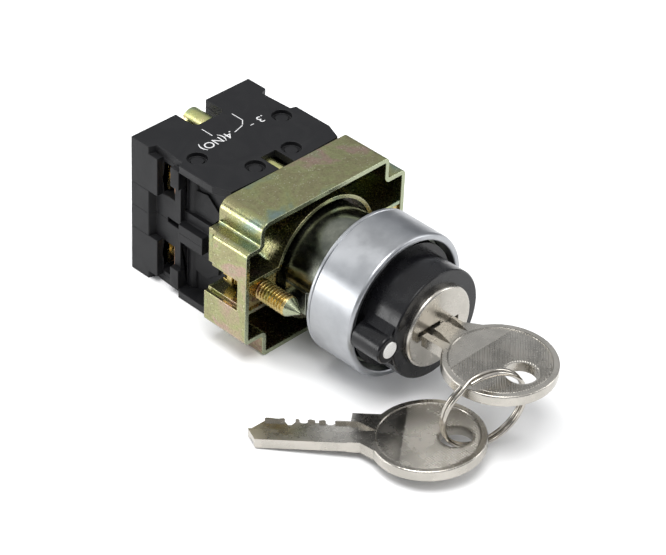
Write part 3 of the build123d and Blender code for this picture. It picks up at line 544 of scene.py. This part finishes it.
def dress(node: str, finish: Finish) -> None:
    """Give a CAD node its finish."""
    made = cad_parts[node]
    if not made.material_slots:
        made.data.materials.append(None)
    for held in made.material_slots:
        held.material = material_of(finish)
    LOG.info("dressed %s, %s", node, finish.name)


def eased(node: str, body: str, finish: Finish, width_mm: float, segments: int = 2) -> bpy.types.Object:
    """Copy of a CAD node with its edges rounded, which stands for the node.

    Args:
        node: the CAD node.
        body: its body.
        finish: its finish.
        width_mm: width of the rounding.
        segments: steps across it.

    Returns:
        The new piece.
    """
    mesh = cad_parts[node].data.copy()
    work = bmesh.new()
    work.from_mesh(mesh)
    bmesh.ops.remove_doubles(work, verts=work.verts, dist=2e-6)
    bmesh.ops.dissolve_limit(work, angle_limit=math.radians(0.6), verts=work.verts, edges=work.edges)
    work.to_mesh(mesh)
    work.free()
    made = bpy.data.objects.new(f"{node}_eased", mesh)
    bpy.context.scene.collection.objects.link(made)
    mesh.materials.clear()
    smoothed(made, 32.0)
    rounded(made, width_mm, segments)
    keep_within(made, *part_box(node))
    return settle(made, body, finish, [node])


def keep_within(made: bpy.types.Object, low: Vector, high: Vector) -> None:
    """Turn an object's modifiers into mesh, and bring any point outside a box back to its face.

    Args:
        made: the object.
        low: the box's lower corner.
        high: its upper corner.
    """
    shape = bpy.data.meshes.new_from_object(made.evaluated_get(bpy.context.evaluated_depsgraph_get()))
    made.modifiers.clear()
    made.data = shape
    points = np.zeros(len(shape.vertices) * 3)
    shape.vertices.foreach_get("co", points)
    shape.vertices.foreach_set("co", np.clip(points.reshape(-1, 3), low, high).ravel())
    shape.update()


# ---------------------------------------------------------------- head
@dataclass
class Head:
    """Bezel, gasket and the shank behind them."""

    bore: float = 13.1
    web: float = 5.0
    shank: float = 10.95
    edge: float = 0.7
    seam: float = 0.22
    seam_y: float = -0.75
    rear_edge: float = 0.25
    groove_inset: float = 1.1
    groove_width: float = 2.0
    groove_depth: float = 1.0
    segments: int = 256

    def bezel(self) -> bpy.types.Object:
        """Bezel: a turned ring with a rounded front, a fine seam before its rear edge and a gasket groove.

        Returns:
            The bezel.
        """
        low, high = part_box("bezel_ring")
        radius, front = high.x / MM, low.y / MM
        e, s, seam_y, rear = self.edge, self.seam, self.seam_y, self.rear_edge
        outer = [arc((self.bore + e * 0.6, front + e * 0.6), e * 0.6, 180, 270),
                 arc((radius - e, front + e), e, 270, 360), [[radius, seam_y - s]],
                 [[radius - s, seam_y]], [[radius - s * 0.2, seam_y + s * 0.6]],
                 arc((radius - rear, -rear), rear, 0, 90, 4)]
        groove = radius - self.groove_inset
        floor, inside = -self.groove_depth, groove - self.groove_width
        inner = [[[groove, 0], [groove, floor], [inside, floor], [inside, 0], [self.shank, 0],
                  [self.shank, -self.web], [self.bore, -self.web]]]
        profile = np.vstack([np.asarray(part, float) for part in outer + inner])
        made = turned("bezel", profile, self.segments)
        return settle(made, "base", Finish.satin_chrome, ["bezel_ring"])

    def build(self) -> None:
        """Make and dress the head."""
        self.bezel()
        dress("panel_gasket", Finish.gasket_rubber)
        eased("head_body", "base", Finish.dark_chrome, 0.2)
        for node in ("lock_shell", "pusher_guide", "head_seat"):
            dress(node, Finish.cast_zinc)
        for node in ("detent_ball", "detent_spring", "guide_clip"):
            dress(node, Finish.spring_steel)


@dataclass
class Lock:
    """Operating collar, plug and what turns with them."""

    def build(self) -> None:
        """Dress the turning parts."""
        dress("key_collar", Finish.black_collar)
        dress("pointer_insert", Finish.white_dot)
        dress("lock_plug", Finish.nickel)
        dress("wafer_tumblers", Finish.brass)
        dress("wafer_springs", Finish.spring_steel)
        dress("switch_cam", Finish.cam_plastic)
        dress("cam_screw", Finish.zinc_yellow)


# ---------------------------------------------------------------- keys
class Hatch(Enum):
    """How the bow of a key is textured."""

    RIBS = 1
    DIAMONDS = 2


@dataclass
class Key:
    """One cut key: the CAD blank plus the textured field and the rim's bead on each face of its bow."""

    name: str
    node: str
    body: str
    place: Matrix
    hatch: Hatch
    bow: float = 10.5
    thick: float = 2.2
    field: float = 9.3
    hole: float = 3.0
    hole_u: float = -4.9
    border_u: float = 4.5
    floor: float = 0.14
    rib: float = 0.13
    pitch: float = 0.44
    slant_deg: float = -43.0

    def relief(self, u: np.ndarray, w: np.ndarray) -> np.ndarray:
        """Height of the texture, from 0 to 1.

        Ribs are a rounded wave along one slanted direction, and diamonds are the lower of two such waves.

        Args:
            u: place along the key.
            w: place across it.

        Returns:
            The height at each point.
        """
        waves = []
        for turn in ((1,) if self.hatch is Hatch.RIBS else (1, -1)):
            a = math.radians(self.slant_deg * turn)
            along = u * math.cos(a) + w * math.sin(a)
            waves.append(0.5 + 0.5 * np.cos(TURN * along / self.pitch))
        return np.minimum.reduce(waves)

    def textured(self, side: int) -> bpy.types.Object:
        """Textured field: rays run from the hole's rim to the field's edge, and the height follows relief().

        For an angle t about the hole and a share s of the ray, the point is the hole's centre plus the ray's
        length times s, and the ray ends at the circle or at the straight border, whichever is nearer.

        Args:
            side: 1 for the upper face and -1 for the lower.

        Returns:
            The field.
        """
        rays, steps = 600, 110
        t = (np.arange(rays) + 0.5) * TURN / rays
        near = self.hole + 0.25
        b = self.hole_u * np.cos(t)
        circle = -b + np.sqrt(b * b - (self.hole_u ** 2 - self.field ** 2))
        with np.errstate(divide="ignore"):
            line = np.where(np.cos(t) > 1e-6, (self.border_u - self.hole_u) / np.cos(t), np.inf)
        far = np.minimum(circle, line)
        s = np.linspace(0, 1, steps)[:, None]
        r = near + (far - near) * s
        u, w = self.hole_u + r * np.cos(t), r * np.sin(t)
        rim = np.clip((far - r) / 0.25, 0, 1) * np.clip((r - near) / 0.2, 0, 1)
        height = self.thick / 2 - self.floor - 0.01 + self.rib * self.relief(u, w) * rim
        top = np.stack([u, w, side * height], -1).reshape(-1, 3)
        floor = np.stack([u[[0, -1]], w[[0, -1]],
                          np.full((2, rays), side * (self.thick / 2 - self.floor - 0.06))], -1)
        points = placed(np.vstack([top, floor.reshape(-1, 3)]), self.place)
        base = steps * rays
        sheet = lattice(steps, rays, False, True)
        skirt_in = np.stack([np.arange(rays), (np.arange(rays) + 1) % rays,
                             base + (np.arange(rays) + 1) % rays, base + np.arange(rays)], -1)
        last = (steps - 1) * rays
        skirt_out = np.stack([last + np.arange(rays), last + (np.arange(rays) + 1) % rays,
                              base + rays + (np.arange(rays) + 1) % rays, base + rays + np.arange(rays)], -1)
        under = lattice(2, rays, False, True, base)
        made = solid(f"{self.name}_field_{'top' if side > 0 else 'under'}", points,
                     np.vstack([sheet, skirt_in, skirt_out, under]).tolist(), 80.0)
        return settle(made, self.body, Finish.nickel)

    def bead(self, side: int) -> bpy.types.Object:
        """Rounded inner edge of the rim: a small profile turned round the bow.

        A point (radius r, height h) of the profile goes to (r cos t, r sin t, h) for t round the bow.

        Args:
            side: 1 for the upper face and -1 for the lower.

        Returns:
            The bead.
        """
        segments, top = 240, self.thick / 2
        low = top - self.floor - 0.04
        edge = arc((self.field - 0.02, top - 0.07), 0.07, 180, 0, 8)
        profile = np.vstack([[[self.field - 0.2, low]], edge, [[self.field + 0.12, low]]])
        t = np.arange(segments) * TURN / segments
        r, h = profile[:, :1], profile[:, 1:]
        points = np.stack([r * np.cos(t), r * np.sin(t), side * h + 0 * t], -1).reshape(-1, 3)
        faces = lattice(len(profile), segments, True, True).tolist()
        made = solid(f"{self.name}_bead_{'top' if side > 0 else 'under'}",
                     placed(points, self.place), faces, 50.0)
        return settle(made, self.body, Finish.nickel)

    def build(self) -> None:
        """Make both faces and dress the blank."""
        dress(self.node, Finish.nickel)
        for side in (1, -1):
            self.textured(side)
            self.bead(side)


@dataclass
class KeyRing:
    """Split ring: one wire wound twice, with cut ends."""

    radius: float = 8.2
    wire: float = 0.40
    pitch: float = 0.92
    normal: Tuple[float, float, float] = (0.29, 0.955, 0.06)
    start_deg: float = 63.0
    turns: float = 1.975
    cross_deg: float = 14.0

    def build(self) -> None:
        """Wire: a circle of the wire's radius carried along two turns of the ring.

        At a travelled angle t the centre is at the ring's radius, and its offset along the ring's normal goes
        smoothly from minus to plus half the pitch near the middle of its travel. The ends close in a
        short dome.
        """
        low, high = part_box("split_ring")
        centre = np.array((low + high) / 2) / MM
        n = np.array(self.normal) / np.linalg.norm(self.normal)
        a = np.cross((0.0, 0.0, 1.0), n)
        a /= np.linalg.norm(a)
        b = np.cross(n, a)
        rows, round_steps = 520, 20
        s = np.linspace(0, 1, rows)
        t = math.radians(self.start_deg) + s * self.turns * TURN
        travelled = s * self.turns * TURN - TURN * self.turns / 2
        share = np.clip(0.5 + travelled / math.radians(2 * self.cross_deg), 0, 1)
        offset = self.pitch * (share * share * (3 - 2 * share) - 0.5)
        outward = np.cos(t)[:, None] * a + np.sin(t)[:, None] * b
        middle = centre + self.radius * outward + offset[:, None] * n
        from_end = np.minimum(s, 1 - s) * self.turns * TURN * self.radius
        dome = np.sqrt(np.clip(1 - (1 - np.clip(from_end / 0.25, 0.04, 1)) ** 2, 0, 1))
        p = np.arange(round_steps) * TURN / round_steps
        ring = outward[:, None, :] * np.cos(p)[None, :, None] + n * np.sin(p)[None, :, None]
        points = (middle[:, None, :] + self.wire * dome[:, None, None] * ring).reshape(-1, 3) * MM
        faces = lattice(rows, round_steps, False, True).tolist()
        faces += [list(range(round_steps)), list(range((rows - 1) * round_steps, rows * round_steps))]
        settle(solid("wound_ring", points, faces, 50.0), "ring", Finish.ring_steel, ["split_ring"])


# ---------------------------------------------------------------- bracket
@dataclass
class ClampScrew:
    """Cone-point clamp screw with a real thread and a slotted head."""

    side: str
    radius: float = 2.0
    root: float = 1.46
    pitch: float = 0.7
    cone: float = 2.7
    head_depth: float = 2.3
    slot_half: float = 0.4
    slot_depth: float = 1.1
    tip: float = 0.25

    def thread(self, x: float, front: float, seat: float) -> bpy.types.Object:
        """Threaded shank: radius at angle t and place y follows a sharp-rooted wave of y / pitch - t / turn.

        The cone at the front is plain, and limits the radius there.

        Args:
            x: the screw's axis.
            front: place of the tip.
            seat: place of the head's underside.

        Returns:
            The shank.
        """
        columns = 56
        y = np.linspace(front, seat, int((seat - front) / self.pitch * 14))[:, None]
        t = (np.arange(columns) * TURN / columns)[None, :]
        phase = (y / self.pitch - t / TURN) % 1.0
        wave = np.clip(1.15 - 2.3 * np.abs(phase - 0.5), 0, 1)
        started = np.clip((y - front - self.cone * 0.8) / (2 * self.pitch), 0, 1)
        r = self.radius - (self.radius - self.root) * (1 - wave) * started
        cone = self.tip + (self.radius - self.tip) * (y - front) / self.cone
        r = np.minimum(r, cone)
        points = np.stack([x + r * np.cos(t), y + 0 * t, r * np.sin(t)], -1).reshape(-1, 3) * MM
        rows = len(y)
        faces = lattice(rows, columns, False, True).tolist()
        faces += [list(range(columns)), list(range((rows - 1) * columns, rows * columns))]
        return solid(f"clamp_thread_{self.side}", points, faces, 60.0)

    def head(self, x: float, seat: float, rear: float, radius: float) -> List[bpy.types.Object]:
        """Slotted head: a disc with two half-moon lands, each an arc closed by its chord.

        Args:
            x: the screw's axis.
            seat: place of the underside.
            rear: place of the top of the head.
            radius: the head's radius.

        Returns:
            The disc and the lands.
        """
        place = Matrix(((MM, 0, 0, x * MM), (0, 0, MM, 0), (0, MM, 0, 0), (0, 0, 0, 1)))
        floor, sunk = rear - self.slot_depth, 0.05
        disc = carried(f"clamp_disc_{self.side}", arc((0, 0), radius, 0, 360 - 6, 59), seat, floor, place)
        cut = math.degrees(math.asin(self.slot_half / radius))
        lands = [carried(f"clamp_land_{i}_{self.side}",
                         arc((0, 0), radius, cut + i * 180, 180 - cut + i * 180, 30),
                         floor - sunk, rear, place) for i in (0, 1)]
        for land in lands:
            rounded(land, 0.15, 3)
        return [disc] + lands

    def build(self) -> None:
        """Make the screw in place of its plain CAD node."""
        node = f"clamp_screw_{self.side}"
        low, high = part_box(node)
        x, radius = (low.x + high.x) / 2 / MM, (high.x - low.x) / 2 / MM
        front, rear = low.y / MM, high.y / MM
        seat = rear - self.head_depth
        pieces = [self.thread(x, front, seat)] + self.head(x, seat, rear, radius)
        for piece in pieces:
            settle(piece, f"clamp_{self.side}", Finish.zinc_yellow, [node])


@dataclass
class Bracket:
    """Passivated sheet bracket with its collar, threaded plates and clamp screws."""

    def build(self) -> None:
        """Make and dress the bracket."""
        eased("bracket_frame", "base", Finish.passivated_zinc, 0.14)
        for node in ("collar_upper", "collar_lower"):
            eased(node, "base", Finish.passivated_zinc, 0.1)
        for side in ("left", "right"):
            dress(f"clamp_nut_{side}", Finish.zinc_yellow)
            ClampScrew(side).build()


# ---------------------------------------------------------------- contact blocks
@dataclass
class ContactBlock:
    """One contact block: black mouldings, metal inside and white print on the cover."""

    level: str
    ink_mm: float = 0.006
    digit_mm: float = 2.75
    line_mm: float = 0.18

    @property
    def sign(self) -> int:
        """1 for the upper block and -1 for the lower, which is turned half a turn about Y."""
        return 1 if self.level == "upper" else -1

    def print_place(self) -> Matrix:
        """From print coordinates to the cover's outer face.

        Print x runs to the left seen from the key, print y from rear to front, both in millimetres from the
        middle of the block's front edge, so that the letters' tops face the panel.

        Returns:
            The placing matrix.
        """
        low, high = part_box(f"{self.level}_cover")
        z = high.z if self.sign > 0 else low.z
        s = self.sign
        return Matrix(((-MM * s, 0, 0, 0), (0, -MM, 0, low.y), (0, 0, MM * s, z), (0, 0, 0, 1)))

    def stroke(self, name: str, start: Tuple[float, float], end: Tuple[float, float]) -> None:
        """Straight printed line between two print points.

        Args:
            name: the piece's name.
            start: first end.
            end: second end.
        """
        a, b = np.array(start), np.array(end)
        along = (b - a) / np.linalg.norm(b - a)
        across = np.array([-along[1], along[0]]) * self.line_mm / 2
        outline = np.array([a - across, b - across, b + across, a + across])
        self.ink(carried(name, outline, 0.0, self.ink_mm, self.print_place()))

    def ink(self, made: bpy.types.Object) -> None:
        """Finish one printed piece."""
        settle(made, "base", Finish.white_ink)

    def lettering(self, name: str, text: str, where: Tuple[float, float], size_mm: float) -> None:
        """Printed terminal number.

        Args:
            name: the piece's name.
            text: what it says.
            where: print coordinates of its lower left corner.
            size_mm: height of the digits.
        """
        curve = bpy.data.curves.new(name, "FONT")
        curve.body, curve.size, curve.extrude = text, size_mm, self.ink_mm / 2
        held = bpy.data.objects.new(name, curve)
        mesh = bpy.data.meshes.new_from_object(held)
        points = np.zeros(len(mesh.vertices) * 3)
        mesh.vertices.foreach_get("co", points)
        points = points.reshape(-1, 3) + (where[0], where[1], self.ink_mm / 2)
        mesh.vertices.foreach_set("co", placed(points, self.print_place()).ravel())
        mesh.update()
        made = bpy.data.objects.new(name, mesh)
        bpy.context.scene.collection.objects.link(made)
        bpy.data.objects.remove(held)
        self.ink(made)

    def printing(self) -> None:
        """Terminal numbers and a normally open contact symbol."""
        p = self.level
        self.lettering(f"{p}_number_three", ".3", (-8.1, -15.1), self.digit_mm)
        self.lettering(f"{p}_number_four", ".4(NO)", (0.1, -15.1), self.digit_mm)
        strokes = {"tick": ((-4.9, -13.9), (-4.0, -13.9)), "lead_three": ((-4.15, -19.1), (-4.15, -16.2)),
                   "elbow": ((-4.15, -16.2), (-3.1, -15.1)), "blade": ((-2.9, -14.9), (-0.25, -14.2)),
                   "lead_four": ((3.65, -19.0), (3.65, -16.1))}
        for name, (start, end) in strokes.items():
            self.stroke(f"{p}_{name}", start, end)

    def build(self) -> None:
        """Make and dress the block."""
        p = self.level
        eased(f"{p}_cover", "base", Finish.block_plastic, 0.13)
        eased(f"{p}_housing", "base", Finish.block_plastic, 0.12)
        dress(f"{p}_mounting_stud", Finish.zinc_lime)
        for node in ("plunger", "pusher"):
            dress(f"{p}_{node}", Finish.white_plastic)
        dress(f"{p}_return_spring", Finish.spring_steel)
        dress(f"{p}_contact_bridge", Finish.contact_copper)
        for side in ("left", "right"):
            dress(f"{p}_fixed_contact_{side}", Finish.contact_copper)
            dress(f"{p}_terminal_screw_{side}", Finish.zinc_yellow)
            dress(f"{p}_saddle_clamp_{side}", Finish.brass)
        self.printing()


# ---------------------------------------------------------------- studio
@dataclass
class Studio:
    """Pale floor, soft lights and the camera."""

    azimuth: float = -46.672
    elevation: float = 36.437
    roll: float = 2.712
    distance: float = 504.82
    aside: float = 5.376
    aloft: float = -0.349
    focal: float = 2769.47
    width: float = 666.0
    sensor: float = 36.0
    sky_strength: float = 0.85
    sky_stops: Tuple[Tuple[float, Colour], ...] = (
        (0.0, (0.30, 0.31, 0.33)), (0.25, (0.22, 0.23, 0.25)),
        (0.55, (0.75, 0.77, 0.80)), (0.9, (1.0, 1.0, 1.0)))

    def camera(self) -> None:
        """Camera: turned about the vertical, raised and rolled, looking near the origin."""
        a, e, r = (math.radians(v) for v in (self.azimuth, self.elevation, self.roll))
        back = Vector((math.sin(a) * math.cos(e), -math.cos(a) * math.cos(e), math.sin(e)))
        side = Vector((math.cos(a), math.sin(a), 0))
        up = back.cross(side)
        right = side * math.cos(r) + up * math.sin(r)
        above = up * math.cos(r) - side * math.sin(r)
        where = (back * self.distance - right * self.aside - above * self.aloft) * MM
        data = bpy.data.cameras.new("camera")
        data.sensor_width, data.lens = self.sensor, self.focal * self.sensor / self.width
        data.clip_start, data.clip_end = 0.01, 20
        made = bpy.data.objects.new("camera", data)
        made.matrix_world = Matrix((right, above, back)).transposed().to_4x4()
        made.matrix_world.translation = where
        bpy.context.scene.collection.objects.link(made)
        bpy.context.scene.camera = made

    def floor(self) -> None:
        """Wide pale floor under the switch."""
        low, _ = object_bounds()
        z, half = low[2] - 2e-5, 3.0
        points = np.array([[-half, -half, z], [half, -half, z], [half, half, z], [-half, half, z]])
        made = solid("floor", points, [[0, 1, 2, 3]])
        g = Graph("floor_paper")
        tone = g.mix(g.noise(9.0, 2.0) * 0.5, (0.97, 0.97, 0.97), (0.95, 0.95, 0.95))
        made.data.materials.append(g.finish({"Specular IOR Level": 0.1},
                                            {"Base Color": tone, "Roughness": 0.9}))
        made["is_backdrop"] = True

    def lamp(self, name: str, where: Tuple[float, float, float], size: Tuple[float, float],
             watts: float) -> None:
        """Soft rectangular lamp aimed at the switch.

        Args:
            name: the lamp's name.
            where: its place in metres.
            size: its two sides in metres.
            watts: its power.
        """
        data = bpy.data.lights.new(name, "AREA")
        data.shape, data.size, data.size_y, data.energy = "RECTANGLE", size[0], size[1], watts
        made = bpy.data.objects.new(name, data)
        made.location = where
        made.rotation_euler = (Vector(where)).to_track_quat("Z", "Y").to_euler()
        bpy.context.scene.collection.objects.link(made)

    def build(self) -> None:
        """Set the studio up."""
        self.camera()
        self.floor()
        self.sky()
        bpy.context.scene.view_settings.view_transform = "Standard"
        self.lamp("key_lamp", (-0.20, -0.10, 0.80), (0.50, 0.40), 5.0)
        self.lamp("side_lamp", (0.60, -0.45, 0.30), (0.25, 0.5), 1.6)
        self.lamp("left_lamp", (-0.80, 0.52, 0.16), (0.30, 0.35), 2.2)
        self.lamp("rear_lamp", (-0.2, 0.7, 0.45), (0.6, 0.3), 2.0)

    def sky(self) -> None:
        """World: bright overhead and dim near the horizon, so that metal shows light and dark bands."""
        world = bpy.data.worlds.new("studio")
        world.use_nodes = True
        nodes, links = world.node_tree.nodes, world.node_tree.links
        split = nodes.new("ShaderNodeSeparateXYZ")
        links.new(nodes.new("ShaderNodeTexCoord").outputs["Generated"], split.inputs[0])
        ramp = nodes.new("ShaderNodeValToRGB")
        Graph.fill_ramp(ramp.color_ramp, self.sky_stops)
        links.new(split.outputs["Z"], ramp.inputs[0])
        links.new(ramp.outputs["Color"], nodes["Background"].inputs["Color"])
        nodes["Background"].inputs["Strength"].default_value = self.sky_strength
        bpy.context.scene.world = world


def along_y(node: str, bow: float) -> Matrix:
    """Place of the inserted key: its length along +Y, its width along +X and its second face up.

    Args:
        node: the CAD node.
        bow: radius of its bow.

    Returns:
        Millimetres of (u, w, height) to metres.
    """
    low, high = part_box(node)
    middle = (low + high) / 2
    return Matrix(((0, MM, 0, middle.x), (MM, 0, 0, low.y + bow * MM), (0, 0, -MM, middle.z), (0, 0, 0, 1)))


def lying(centre: Tuple[float, float, float], heading: float, pitch: float, roll: float) -> Matrix:
    """Place of the second key from its bow's centre and its three angles in degrees."""
    turn = (Matrix.Rotation(math.radians(heading), 4, "Z") @ Matrix.Rotation(math.radians(pitch), 4, "Y")
            @ Matrix.Rotation(math.radians(roll), 4, "X"))
    return Matrix.Translation(Vector(centre) * MM) @ turn @ Matrix.Scale(MM, 4)


def main() -> None:
    """Build the switch and the studio."""
    logging.basicConfig(level=logging.INFO, format="%(message)s")
    Studio().build()
    Head().build()
    Lock().build()
    Key("first_key", "key_inserted", "key", along_y("key_inserted", Key.bow), Hatch.RIBS).build()
    second = lying((-13.77, -30.46, -11.45), 128.3, 4.5, 1.2)
    Key("second_key", "spare_key", "spare", second, Hatch.DIAMONDS, pitch=0.46).build()
    KeyRing().build()
    Bracket().build()
    for level in ("upper", "lower"):
        ContactBlock(level).build()


if __name__ == "__main__":
    main()
